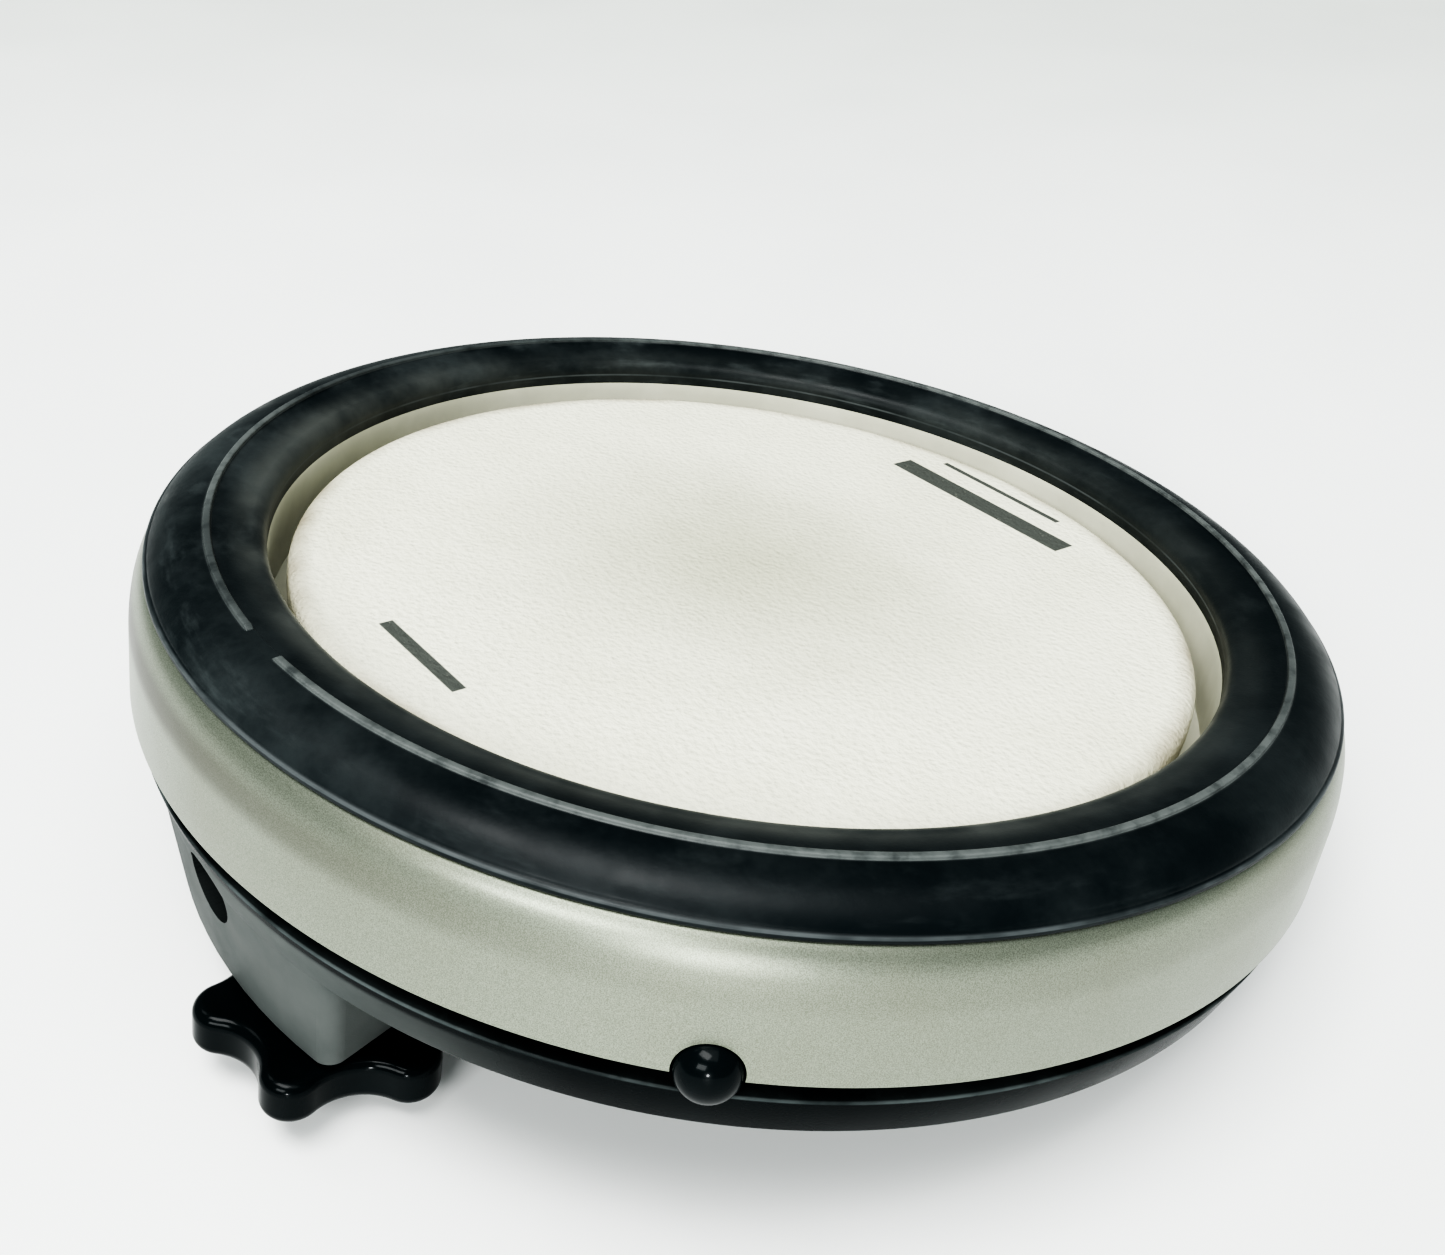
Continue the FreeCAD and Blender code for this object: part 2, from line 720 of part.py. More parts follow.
def star_outline():
    """Lobes and valleys as arcs that meet in tangents."""
    tip, valley, lobe = SIZES["star_tip"], SIZES["star_valley"], SIZES["star_lobe"]
    lobe_reach = tip - lobe
    base = valley - lobe
    step = math.pi / STAR_LOBES
    valley_reach = (lobe_reach ** 2 - base ** 2) / (2 * (lobe_reach * math.cos(step) - base))
    lobe_centre = Vector(lobe_reach, 0, 0)
    valley_centre = Vector(math.cos(step), math.sin(step), 0) * valley_reach
    joint = lobe_centre + (valley_centre - lobe_centre).normalize() * lobe
    mirrored = Vector(joint.x, -joint.y, 0)
    edges = []
    for index in range(STAR_LOBES):
        turn = Rotation(Vector(0, 0, 1), math.degrees(2 * step * index))
        after = Rotation(Vector(0, 0, 1), math.degrees(2 * step * (index + 1)))
        half = Rotation(Vector(0, 0, 1), math.degrees(step * (2 * index + 1)))
        start, end = turn.multVec(mirrored), turn.multVec(joint)
        edges.append(Part.Arc(start, turn.multVec(Vector(tip, 0, 0)), end).toShape())
        low_point = half.multVec(Vector(valley, 0, 0))
        edges.append(Part.Arc(end, low_point, after.multVec(mirrored)).toShape())
    return Part.Wire(edges)


def make_clamp_knob():
    """The six-lobed star knob, rounded above and below, with a hub and a dished underside."""
    thick = SIZES["star_thickness"]
    star = Part.Face(star_outline()).extrude(Vector(0, 0, thick))
    rounded = [e for e in star.Edges if abs(e.BoundBox.ZLength) < 1e-6]
    star = star.makeFillet(2.2, rounded)
    hub = Part.makeCylinder(SIZES["hub_radius"], SIZES["hub_rise"] + 1, Vector(0, 0, thick - 1))
    dish = Part.makeCone(12.0, 10.5, 1.2, Vector(0, 0, 0))
    bore = Part.makeCylinder(SIZES["thread_radius"] + 0.02, thick + 10, Vector(0, 0, thick - 7.0))
    feature = doc.addObject("Part::Feature", "clamp_knob")
    feature.Shape = star.fuse(hub).cut(dish).cut(bore).removeSplitter()
    low = -(SIZES["star_top"] + thick)
    feature.Placement = Placement(Vector(SIZES["bolt_x"], -SIZES["bolt_reach"], low),
                                  Rotation(Vector(0, 0, 1), SIZES["star_turned"]))
    keep(feature, "clamp_knob")


# ---- side control ----

def radial(body, height):
    """Stand a part that was turned about X along the side control's axis."""
    body.Placement = Placement(Vector(0, 0, height),
                               Rotation(Vector(0, 0, 1), SIZES["control_angle"]))


def make_control_knob():
    """The small domed knob, hollow for its shaft."""
    body = new_body("control_knob")
    radius = size("control_radius")
    face = size("control_face")
    shaft = size("shaft_radius") + 0.02
    back = size("control_back")
    revolve(body, "control_turned", [
        (face, 0), (face - 0.6, radius - 3.6, 8.0), (face - 4.6, radius, 5.4), (back, radius),
        (back, shaft), (back + 7.5, shaft), (back + 7.5, 0)], axis="H_Axis")
    radial(body, SIZES["control_height"])
    keep(body, "control_knob")


def make_control_shaft():
    body = new_body("control_shaft")
    shaft = size("shaft_radius")
    tip = size("control_back") + 7.4
    start = size("pot_front") - 3.0
    revolve(body, "shaft_turned", [(start, 0), (tip, 0), (tip, shaft - 0.4),
                                   (tip - 0.4, shaft), (start, shaft)], axis="H_Axis")
    radial(body, SIZES["control_height"])
    keep(body, "control_shaft")


def make_control_pot():
    """The potentiometer: a round can with a bushing that guides the shaft."""
    body = new_body("control_pot")
    room = size("shaft_radius") + THREAD_GAP
    front = size("pot_front")
    revolve(body, "pot_turned", [
        (size("pot_back"), 0), (front - 3.2, 0), (front - 3.2, room), (front + 5.0, room),
        (front + 5.0, size("bushing_radius")), (front, size("bushing_radius")),
        (front, size("pot_radius")), (size("pot_back"), size("pot_radius"))], axis="H_Axis")
    radial(body, SIZES["control_height"])
    keep(body, "control_pot")


def make_pot_bracket():
    """The upright plate that holds the control, with a foot on the tray floor."""
    body = new_body("pot_bracket")
    front = size("pot_front")
    low = size("tray_floor")
    foot = new_sketch(body, "foot_outline", offset=low)
    rectangle(foot, front - 12, front + 1.2, -10, 10)
    grow(body, "foot", "Pad", foot, 1.2)
    plate = new_sketch(body, "plate_outline", "YZ_Plane", offset=front)
    rectangle(plate, -10, 10, low, size("control_height") + 9)
    grow(body, "plate", "Pad", plate, 1.2)
    hole = new_sketch(body, "plate_hole_circle", "YZ_Plane", offset=front - 0.5)
    circle(hole, 0, size("control_height"), size("bushing_radius") + 0.05)
    grow(body, "plate_hole", "Pocket", hole, 2.5, backwards=True)
    radial(body, 0)
    keep(body, "pot_bracket")


def hexagon(sketch, across, up, radius):
    outline(sketch, [(across + radius * math.cos(math.radians(60 * k)),
                      up + radius * math.sin(math.radians(60 * k))) for k in range(6)])


def make_pot_nut():
    body = new_body("pot_nut")
    start = size("pot_front") + 1.2
    sketch = new_sketch(body, "pot_nut_outline", "YZ_Plane", offset=start)
    hexagon(sketch, 0, size("control_height"), 5.2)
    grow(body, "pot_nut_block", "Pad", sketch, 2.0)
    hole = new_sketch(body, "pot_nut_circle", "YZ_Plane", offset=start - 0.5)
    circle(hole, 0, size("control_height"), size("bushing_radius") + 0.05)
    grow(body, "pot_nut_hole", "Pocket", hole, 3.0, backwards=True)
    radial(body, 0)
    keep(body, "pot_nut")


# ---- output jack and board ----

def make_output_jack():
    """The jack: a moulded body inside the housing and a bushing out through its back wall."""
    body = new_body("output_jack")
    mouth = size("jack_mouth")
    face = size("housing_back") + size("housing_wall")
    x, z = size("jack_x"), -size("jack_drop")
    block = new_sketch(body, "jack_block_outline", "XZ_Plane", offset=face)
    rectangle(block, x - 7, x + 7, z - size("jack_half"), z + size("jack_half"))
    grow(body, "jack_block", "Pad", block, size("block_back") - 0.3 - face)
    bushing = new_sketch(body, "bushing_circle", "XZ_Plane", offset=mouth)
    circle(bushing, x, z, size("jack_bushing"))
    grow(body, "bushing", "Pad", bushing, face - mouth + 0.5)
    bore = new_sketch(body, "jack_bore_circle", "XZ_Plane", offset=mouth - 1)
    circle(bore, x, z, size("jack_bore"))
    grow(body, "bore", "Pocket", bore, size("jack_depth") + 1, backwards=True)
    keep(body, "output_jack")


def make_jack_ring(name, start, thickness, shape):
    """A washer or nut on the jack's bushing, from a distance behind the housing."""
    body = new_body(name)
    plane = size("housing_back") - (start + thickness)
    sketch = new_sketch(body, name + "_outline", "XZ_Plane", offset=plane)
    shape(sketch, size("jack_x"), -size("jack_drop"), size("jack_ring"))
    grow(body, name + "_block", "Pad", sketch, thickness)
    hole = new_sketch(body, name + "_circle", "XZ_Plane", offset=plane - 0.5)
    circle(hole, size("jack_x"), -size("jack_drop"), size("jack_bushing") + 0.05)
    grow(body, name + "_hole", "Pocket", hole, dim(thickness) + 1, backwards=True)
    keep(body, name)


def make_board():
    body = new_body("circuit_board")
    sketch = new_sketch(body, "board_outline", offset=size("board_height"))
    half_length = size("board_length") * 0.5
    half_width = size("board_width") * 0.5
    rectangle(sketch, size("board_x") - half_length, size("board_x") + half_length,
              size("board_y") - half_width, size("board_y") + half_width)
    grow(body, "board_sheet", "Pad", sketch, size("board_thickness"))
    bore_circles(body, "board_holes", board_spots(), 1.3, size("board_height") - 0.5,
                 size("board_height") + size("board_thickness") + 0.5)
    keep(body, "circuit_board")


def lead_path(points):
    """Straight runs joined by tangent arcs, as one wire."""
    edges = []
    start = points[0]
    for before, corner, after in zip(points, points[1:], points[2:]):
        back = (before - corner)
        on = (after - corner)
        shorter = min(back.Length, on.Length)
        back.normalize()
        on.normalize()
        turn = math.pi - back.getAngle(on)
        cut = 0.45 * shorter
        entry, leave = corner + back * cut, corner + on * cut
        radius = cut / math.tan(turn / 2)
        inward = (back + on).normalize()
        centre = corner + inward * (radius / math.cos(turn / 2))
        edges.append(Part.LineSegment(start, entry).toShape())
        edges.append(Part.Arc(entry, centre - inward * radius, leave).toShape())
        start = leave
    edges.append(Part.LineSegment(start, points[-1]).toShape())
    return Part.Wire(edges)


def make_lead(name, points):
    """An internal lead: a thin round tube along its route."""
    path = lead_path([Vector(*p) for p in points])
    first = path.Edges[0]
    along = first.tangentAt(first.FirstParameter)
    ring = Part.Wire([Part.makeCircle(1.0, Vector(*points[0]), along)])
    feature = doc.addObject("Part::Feature", name)
    feature.Shape = path.makePipeShell([ring], True, False)
    keep(feature, name)


def make_leads():
    sensor_low = (SIZES["head_top"] - SIZES["head_thickness"] - SIZES["plate_thickness"]
                  - SIZES["tape_thickness"] - SIZES["sensor_thickness"])
    board_top = SIZES["board_height"] + SIZES["board_thickness"]
    turn = Rotation(Vector(0, 0, 1), SIZES["control_angle"])
    pot = turn.multVec(Vector(SIZES["pot_back"], 0, SIZES["control_height"]))
    near = turn.multVec(Vector(SIZES["pot_back"] - 12, 0, SIZES["control_height"]))
    make_lead("sensor_lead", [(0, 0, sensor_low), (0, 0, 18), (-6, 3, 14), (-13, 7, 15),
                              (-16, 9, 13), (-16, 9, board_top)])
    make_lead("control_lead", [tuple(pot), tuple(near), (45, -38, 10), (22, -16, 12),
                               (-4, -9, 14), (-18, -6, 13.5), (-18, -6, board_top)])
    jack_top = SIZES["jack_half"] - SIZES["jack_drop"]
    make_lead("jack_lead", [(9, -70, jack_top), (9, -70, 8), (4, -46, 11), (-16, -22, 13),
                            (-34, -6, 13.5), (-34, -6, board_top)])


# ---- build, check and write ----

def build():
    fill_sheet()
    make_head_stack()
    make_rubber_rim()
    make_inner_frame()
    make_rim_switch("rim_switch_front", 94.0)
    make_rim_switch("rim_switch_back", -86.0)
    make_upper_shell()
    make_base_tray()
    make_rating_label()
    make_fasteners()
    make_clamp_body()
    make_clamp_jaw()
    make_clamp_bolt()
    make_clamp_knob()
    make_control_knob()
    make_control_shaft()
    make_control_pot()
    make_pot_bracket()
    make_pot_nut()
    make_output_jack()
    make_jack_ring("jack_washer", 0.0, 0.6, circle)
    make_jack_ring("jack_nut", 0.6, 2.2, hexagon)
    make_board()
    make_leads()
    doc.recompute()


def check():
    for thing in doc.Objects:
        bad = [state for state in thing.State if state in ("Invalid", "Error")]
        if bad:
            raise RuntimeError(f"{thing.Name} ({thing.Label}) is {bad}")
    for part in subparts:
        if part.Shape.isNull() or not part.Shape.isValid() or not part.Shape.Solids:
            raise RuntimeError(f"{part.Label} has no valid solid")


def write():
    os.makedirs("parts", exist_ok=True)
    for part in subparts:
        part.Shape.exportStep(f"parts/{part.Label}.step")
        box = part.Shape.optimalBoundingBox()
        print(f"{part.Label:18s} solids {len(part.Shape.Solids):2d} volume "
              f"{part.Shape.Volume / 1000:8.2f} cm3  z {box.ZMin:7.2f} {box.ZMax:7.2f}")


build()
check()
write()
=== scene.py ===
import json
import math

import bmesh
import bpy
from mathutils import Matrix, Vector


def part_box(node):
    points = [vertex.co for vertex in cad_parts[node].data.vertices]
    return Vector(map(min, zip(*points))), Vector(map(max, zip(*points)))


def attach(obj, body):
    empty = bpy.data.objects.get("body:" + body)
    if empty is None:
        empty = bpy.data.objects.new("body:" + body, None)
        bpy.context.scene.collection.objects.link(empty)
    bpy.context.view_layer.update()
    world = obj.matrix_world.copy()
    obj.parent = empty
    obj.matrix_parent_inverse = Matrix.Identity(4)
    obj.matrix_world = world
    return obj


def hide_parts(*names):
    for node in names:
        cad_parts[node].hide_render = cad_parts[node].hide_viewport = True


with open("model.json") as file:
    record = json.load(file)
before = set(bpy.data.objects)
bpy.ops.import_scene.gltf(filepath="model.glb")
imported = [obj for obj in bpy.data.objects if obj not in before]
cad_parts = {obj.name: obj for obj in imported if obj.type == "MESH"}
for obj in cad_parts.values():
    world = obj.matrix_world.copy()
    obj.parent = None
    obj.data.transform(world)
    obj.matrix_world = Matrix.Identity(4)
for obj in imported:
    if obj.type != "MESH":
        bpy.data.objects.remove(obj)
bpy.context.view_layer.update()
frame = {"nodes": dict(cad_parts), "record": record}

MM = 0.001
TAU = 2 * math.pi
CONTROL_ANGLE = math.radians(-42.4)
CONTROL_HEIGHT = 15.0       # of the side control's axis, in mm
NOTCH_RADIUS = 5.8          # of the gap that the shell and the tray leave for the control
ROD_DROP = 2.3              # of the rod's axis below the tray's underside
ROD_HOLE_RADIUS = 7.0
RIDGE_RADIUS = 112.9        # of the middle of the rim's ridge
HEAD_FLAT_RADIUS = 94.5     # of the head inside its rolled edge
CROWN_RINGS = 24            # rings of points over the head's crown
POSTS = 8
POST_CIRCLE = 114.0
BASE_EDGE_RADIUS = 122.3    # of the tray's lower edge, on which the pad leans
LOBE_ROUNDING = 2.0         # how far inside its tip a lobe of the star knob touches the floor
FLOOR_GAP = 0.3             # left between the tray's edge and the floor
FLOOR_HALF = 6.0            # half the floor's width, in metres
SHELL_TURNS = 360           # segments round the shell and the tray
RIM_TURNS = 720
# Plain bars printed on the head: centre across and up, half length and half width, in mm.
HEAD_BARS = ((1.0, -82.0, 13.5, 1.5), (0.5, 77.5, 27.0, 3.4), (-2.0, 88.5, 19.0, 0.9))

# ---- small mesh tools ----


def add_object(name, mesh, slot):
    """A new piece in the scene, with the material of its record slot."""
    mesh.materials.clear()
    mesh.materials.append(materials[slot])
    piece = bpy.data.objects.new(name, mesh)
    bpy.context.scene.collection.objects.link(piece)
    return piece


def soften(mesh, angle=32):
    """Smooth shading, with edges sharper than the angle kept crisp."""
    mesh.shade_smooth()
    mesh.set_sharp_from_angle(angle=math.radians(angle))


def arc(start, end, radius, steps):
    """Points after start up to end along the shorter arc. A positive radius turns left."""
    (x0, y0), (x1, y1) = start, end
    chord = math.hypot(x1 - x0, y1 - y0)
    side = 1 if radius > 0 else -1
    reach = math.sqrt(max(radius * radius - chord * chord / 4, 0)) * side
    cx = (x0 + x1) / 2 - (y1 - y0) / chord * reach
    cy = (y0 + y1) / 2 + (x1 - x0) / chord * reach
    first = math.atan2(y0 - cy, x0 - cx)
    turn = (math.atan2(y1 - cy, x1 - cx) - first + math.pi) % TAU - math.pi
    return [(cx + abs(radius) * math.cos(first + turn * k / steps),
             cy + abs(radius) * math.sin(first + turn * k / steps)) for k in range(1, steps + 1)]


def profile(corners):
    """A closed outline of corners (across, up). Radius and steps after them make an arc."""
    points = []
    for corner in corners:
        if len(corner) == 2:
            points.append(corner)
        else:
            points.extend(arc(points[-1], corner[:2], corner[2], corner[3]))
    return points


def turned(name, corners, segments, reshape=None):
    """A mesh turned round Z from a closed outline in millimetres. Points on Z are merged."""
    outline = profile(corners)
    mesh = bpy.data.meshes.new(name)
    bm = bmesh.new()
    rings = []
    for k in range(segments):
        a = TAU * k / segments
        ring = []
        for r, z in outline:
            if reshape:
                r, z = reshape(r, z, a)
            ring.append(bm.verts.new((r * math.cos(a) * MM, r * math.sin(a) * MM, z * MM)))
        rings.append(ring)
    count = len(outline)
    for k in range(segments):
        here, after = rings[k], rings[(k + 1) % segments]
        for i in range(count):
            j = (i + 1) % count
            if outline[i][0] < 1e-9 and outline[j][0] < 1e-9:
                continue
            bm.faces.new((here[i], after[i], after[j], here[j]))
    bmesh.ops.remove_doubles(bm, verts=bm.verts, dist=1e-7)
    bmesh.ops.recalc_face_normals(bm, faces=bm.faces)
    bm.to_mesh(mesh)
    bm.free()
    soften(mesh)
    return mesh


def carve(mesh, tool):
    """A copy of the mesh with the closed tool mesh cut out of it."""
    blank = bpy.data.objects.new("blank", mesh)
    cutter = bpy.data.objects.new("cutter", tool)
    for thing in (blank, cutter):
        bpy.context.scene.collection.objects.link(thing)
    cut = blank.modifiers.new("cut", "BOOLEAN")
    cut.operation = "DIFFERENCE"
    cut.solver = "EXACT"
    cut.object = cutter
    graph = bpy.context.evaluated_depsgraph_get()
    made = bpy.data.meshes.new_from_object(blank.evaluated_get(graph))
    for thing in (blank, cutter):
        bpy.data.objects.remove(thing)
    soften(made)
    return made


def joined(name, meshes):
    """Several meshes as one."""
    bm = bmesh.new()
    for mesh in meshes:
        bm.from_mesh(mesh)
    made = bpy.data.meshes.new(name)
    bm.to_mesh(made)
    bm.free()
    soften(made)
    return made


def moved(mesh, matrix):
    """The same mesh, moved."""
    mesh.transform(matrix)
    return mesh


def control_frame():
    """Turns a mesh made round Z to lie along the side control's axis, out from the case."""
    outwards = Vector((math.cos(CONTROL_ANGLE), math.sin(CONTROL_ANGLE), 0))
    turn = Vector((0, 0, 1)).rotation_difference(outwards).to_matrix().to_4x4()
    return Matrix.Translation((0, 0, CONTROL_HEIGHT * MM)) @ turn


def notch_cutter():
    """A round bar on the side control's axis, which cuts its notch."""
    tool = turned("notch", [(0, 115), (NOTCH_RADIUS, 115), (NOTCH_RADIUS, 136), (0, 136)], 96)
    return moved(tool, control_frame())


def rod_cutter():
    """A round bar on the rod's axis, which cuts the rod's hole at the front."""
    tool = turned("rod_hole", [(0, 100), (ROD_HOLE_RADIUS, 100), (ROD_HOLE_RADIUS, 130),
                               (0, 130)], 96)
    lay = Matrix.Rotation(math.pi / 2, 4, "X")
    return moved(tool, Matrix.Translation((0, 0, -ROD_DROP * MM)) @ lay)


# ---- material tools ----


class Shader:
    """A node material made step by step around one Principled shader."""

    def __init__(self, name, **fixed):
        self.material = bpy.data.materials.new(name)
        self.material.use_nodes = True
        self.tree = self.material.node_tree
        self.shader = self.tree.nodes["Principled BSDF"]
        for socket, value in fixed.items():
            self.shader.inputs[socket.replace("_", " ")].default_value = value
        self.place = self.node("ShaderNodeTexCoord").outputs["Object"]

    def node(self, kind, **settings):
        made = self.tree.nodes.new(kind)
        for key, value in settings.items():
            setattr(made, key, value)
        return made

    def feed(self, socket, value):
        if hasattr(value, "is_output"):
            self.tree.links.new(value, socket)
        else:
            socket.default_value = value

    def noise(self, scale, detail=2.0, roughness=0.5, stretch=None):
        made = self.node("ShaderNodeTexNoise")
        self.feed(made.inputs["Vector"], self.stretched(stretch) if stretch else self.place)
        made.inputs["Scale"].default_value = scale
        made.inputs["Detail"].default_value = detail
        made.inputs["Roughness"].default_value = roughness
        return made.outputs["Fac"]

    def cells(self, scale, smoothness=0.6):
        made = self.node("ShaderNodeTexVoronoi", feature="SMOOTH_F1")
        self.feed(made.inputs["Vector"], self.place)
        made.inputs["Scale"].default_value = scale
        made.inputs["Smoothness"].default_value = smoothness
        return made.outputs["Distance"]

    def stretched(self, scale):
        made = self.node("ShaderNodeMapping")
        self.feed(made.inputs["Vector"], self.place)
        made.inputs["Scale"].default_value = scale
        return made.outputs["Vector"]

    def math(self, operation, a, b=0.0):
        made = self.node("ShaderNodeMath", operation=operation)
        self.feed(made.inputs[0], a)
        self.feed(made.inputs[1], b)
        return made.outputs[0]

    def times(self, a, b):
        return self.math("MULTIPLY", a, b)

    def ramp(self, value, low, high, start=0.0, end=1.0):
        made = self.node("ShaderNodeMapRange", interpolation_type="SMOOTHSTEP")
        self.feed(made.inputs["Value"], value)
        for socket, number in (("From Min", low), ("From Max", high), ("To Min", start),
                               ("To Max", end)):
            made.inputs[socket].default_value = number
        return made.outputs["Result"]

    def window(self, value, rise, full, fall, end):
        """0 below rise, 1 from full to fall, and 0 again above end."""
        return self.times(self.ramp(value, rise, full), self.ramp(value, fall, end, 1.0, 0.0))

    def mix(self, share, first, second):
        made = self.node("ShaderNodeMix", data_type="RGBA")
        self.feed(made.inputs[0], share)
        self.feed(made.inputs[6], first)
        self.feed(made.inputs[7], second)
        return made.outputs[2]

    def axes(self):
        made = self.node("ShaderNodeSeparateXYZ")
        self.feed(made.inputs[0], self.place)
        return made.outputs

    def reach(self, a, b):
        return self.math("SQRT", self.math("ADD", self.times(a, a), self.times(b, b)))

    def radius(self):
        x, y, _ = self.axes()
        return self.reach(x, y)

    def bar(self, x, y, half_length, half_width):
        """1 inside a plain bar along X on the piece, in millimetres, and 0 outside it."""
        across, up, _ = self.axes()
        inside = 1.0
        for place, centre, half in ((across, x, half_length), (up, y, half_width)):
            off = self.math("ABSOLUTE", self.math("SUBTRACT", place, centre * MM))
            edge = self.ramp(off, (half - 0.15) * MM, (half + 0.15) * MM, 1.0, 0.0)
            inside = self.times(inside, edge)
        return inside

    def set(self, socket, value):
        self.feed(self.shader.inputs[socket], value)

    def bump(self, height, distance):
        made = self.node("ShaderNodeBump")
        made.inputs["Strength"].default_value = 1.0
        made.inputs["Distance"].default_value = distance
        self.feed(made.inputs["Height"], height)
        self.set("Normal", made.outputs["Normal"])


def rgb(red, green, blue):
    return (red, green, blue, 1.0)


def grained(name, dark, light, rough, rough_spread, grain, depth, **fixed):
    """Moulded or coated stock: two close tones, uneven gloss and a fine surface grain."""
    made = Shader(name, **fixed)
    cloud = made.noise(34.0, 4.0, 0.6)
    made.set("Base Color", made.mix(made.ramp(cloud, 0.3, 0.7), dark, light))
    made.set("Roughness", made.ramp(made.noise(90.0, 3.0, 0.6), 0.3, 0.7, rough - rough_spread,
                                    rough + rough_spread))
    made.bump(made.noise(grain, 2.0, 0.5), depth)
    return made


def brushed(name, tone, rough, stretch):
    """Plated or turned metal with fine drawn lines along one axis."""
    made = Shader(name, Metallic=1.0)
    lines = made.noise(1.0, 3.0, 0.6, stretch=stretch)
    dim = tuple(c * 0.8 for c in tone[:3]) + (1.0,)
    made.set("Base Color", made.mix(made.ramp(lines, 0.25, 0.75), dim, tone))
    made.set("Roughness", made.ramp(lines, 0.2, 0.8, rough - 0.08, rough + 0.08))
    made.bump(lines, 0.00002)
    return made


# ---- the materials ----


def head_material():
    """Off-white silicone, pebbled, played grey in the middle and a little brown at the edge, with
    painted shade in the pebbles' hollows and painted light on their tops.
    """
    made = Shader("head_silicone", Specular_IOR_Level=0.35)
    radius = made.radius()
    uneven = made.math("ADD", radius, made.times(made.noise(14.0, 3.0), 0.05))
    worn = made.ramp(uneven, 0.015, 0.100, 1.0, 0.0)
    smudge = made.ramp(made.noise(22.0, 5.0, 0.6), 0.42, 0.75)
    clean = made.mix(smudge, rgb(0.77, 0.768, 0.62), rgb(0.71, 0.708, 0.558))
    played = made.mix(made.times(worn, 0.85), clean, rgb(0.40, 0.406, 0.29))
    stain = made.times(made.ramp(radius, 0.0915, 0.0965),
                       made.ramp(made.noise(30.0, 3.0), 0.35, 0.7, 0.25, 0.9))
    stained = made.mix(stain, played, rgb(0.24, 0.20, 0.13))
    pebbles = made.math("ADD", made.times(made.cells(760.0, 0.8), 0.9),
                        made.noise(1100.0, 2.0, 0.6))
    # Painted shade in the pebbles' hollows and painted light on their tops: the colour is scaled
    # by the pebbles' height.
    pebble_light_and_shade = made.ramp(pebbles, 0.45, 1.10, 0.95, 1.03)
    shade = made.node("ShaderNodeVectorMath", operation="SCALE")
    made.feed(shade.inputs[0], stained)
    made.feed(shade.inputs["Scale"], pebble_light_and_shade)
    ink = 0.0
    for bar in HEAD_BARS:
        ink = made.math("MAXIMUM", ink, made.bar(*bar))
    printed = made.times(ink, made.ramp(pebbles, 0.35, 0.6, 0.7, 0.93))
    made.set("Base Color", made.mix(printed, shade.outputs[0], rgb(0.014, 0.021, 0.023)))
    made.set("Roughness", made.ramp(made.noise(60.0, 3.0), 0.3, 0.7, 0.50, 0.66))
    made.bump(pebbles, 0.00030)
    return made


def rubber_material():
    """Black rubber with a blue cast, dusty smears that are heavier on the -X side where they also
    paint a sheen, a grey inner slope with a painted sheen on the near side, a painted highlight
    line along the bead, and a thin ridge worn to light grey.
    """
    made = Shader("rim_rubber", Specular_IOR_Level=0.15)
    x, y, z = made.axes()
    radius = made.radius()
    dust = made.ramp(made.noise(20.0, 6.0, 0.68), 0.40, 0.74)
    streak = made.ramp(made.noise(1.0, 5.0, 0.6, stretch=(60, 60, 400)), 0.52, 0.75)
    # The dusty film is heavier on the -X side: partly real dust, partly a painted sheen there.
    film = made.times(made.math("ADD", dust, made.times(streak, 0.7)),
                      made.ramp(x, -0.12, 0.10, 1.0, 0.40))
    body = made.mix(film, rgb(0.0026, 0.0056, 0.0070), rgb(0.034, 0.041, 0.042))
    off = made.math("ABSOLUTE", made.math("SUBTRACT", radius, RIDGE_RADIUS * MM))
    crest = made.times(made.ramp(off, 0.0009, 0.0013, 1.0, 0.0), made.ramp(z, 0.04595, 0.04615))
    patches = made.times(made.ramp(made.noise(240.0, 3.0, 0.6), 0.2, 0.6, 0.3, 1.0),
                         made.ramp(made.noise(9.0, 2.0, 0.5), 0.38, 0.54, 0.40, 1.0))
    wear = made.times(crest, patches)
    # Grey on the inner slope: partly dust, partly a painted sheen, painted lighter on the near
    # (-Y) side than on the far side.
    inner = made.times(made.ramp(radius, 0.1040, 0.1105, 1.0, 0.0),
                       made.ramp(made.noise(35.0, 4.0, 0.6), 0.3, 0.65, 0.2, 1.0))
    dust_and_sheen = made.mix(made.times(inner, made.ramp(y, -0.05, 0.05, 0.8, 0.25)), body,
                     rgb(0.065, 0.070, 0.064))
    # A painted highlight line along the top of the bead over the seam.
    bead = made.window(z, 0.04005, 0.04025, 0.0405, 0.0407)
    highlight_line = made.times(bead, made.ramp(made.noise(60.0, 3.0, 0.6), 0.35, 0.6, 0.3, 1.0))
    edged = made.mix(highlight_line, dust_and_sheen, rgb(0.060, 0.068, 0.070))
    made.set("Base Color", made.mix(wear, edged, rgb(0.095, 0.105, 0.102)))
    made.set("Roughness", made.ramp(made.math("ADD", film, made.noise(120.0, 4.0)), 0.3, 1.1,
                                    0.34, 0.52))
    made.bump(made.math("ADD", made.noise(1500.0, 2.0), made.noise(300.0, 3.0)), 0.00002)
    return made


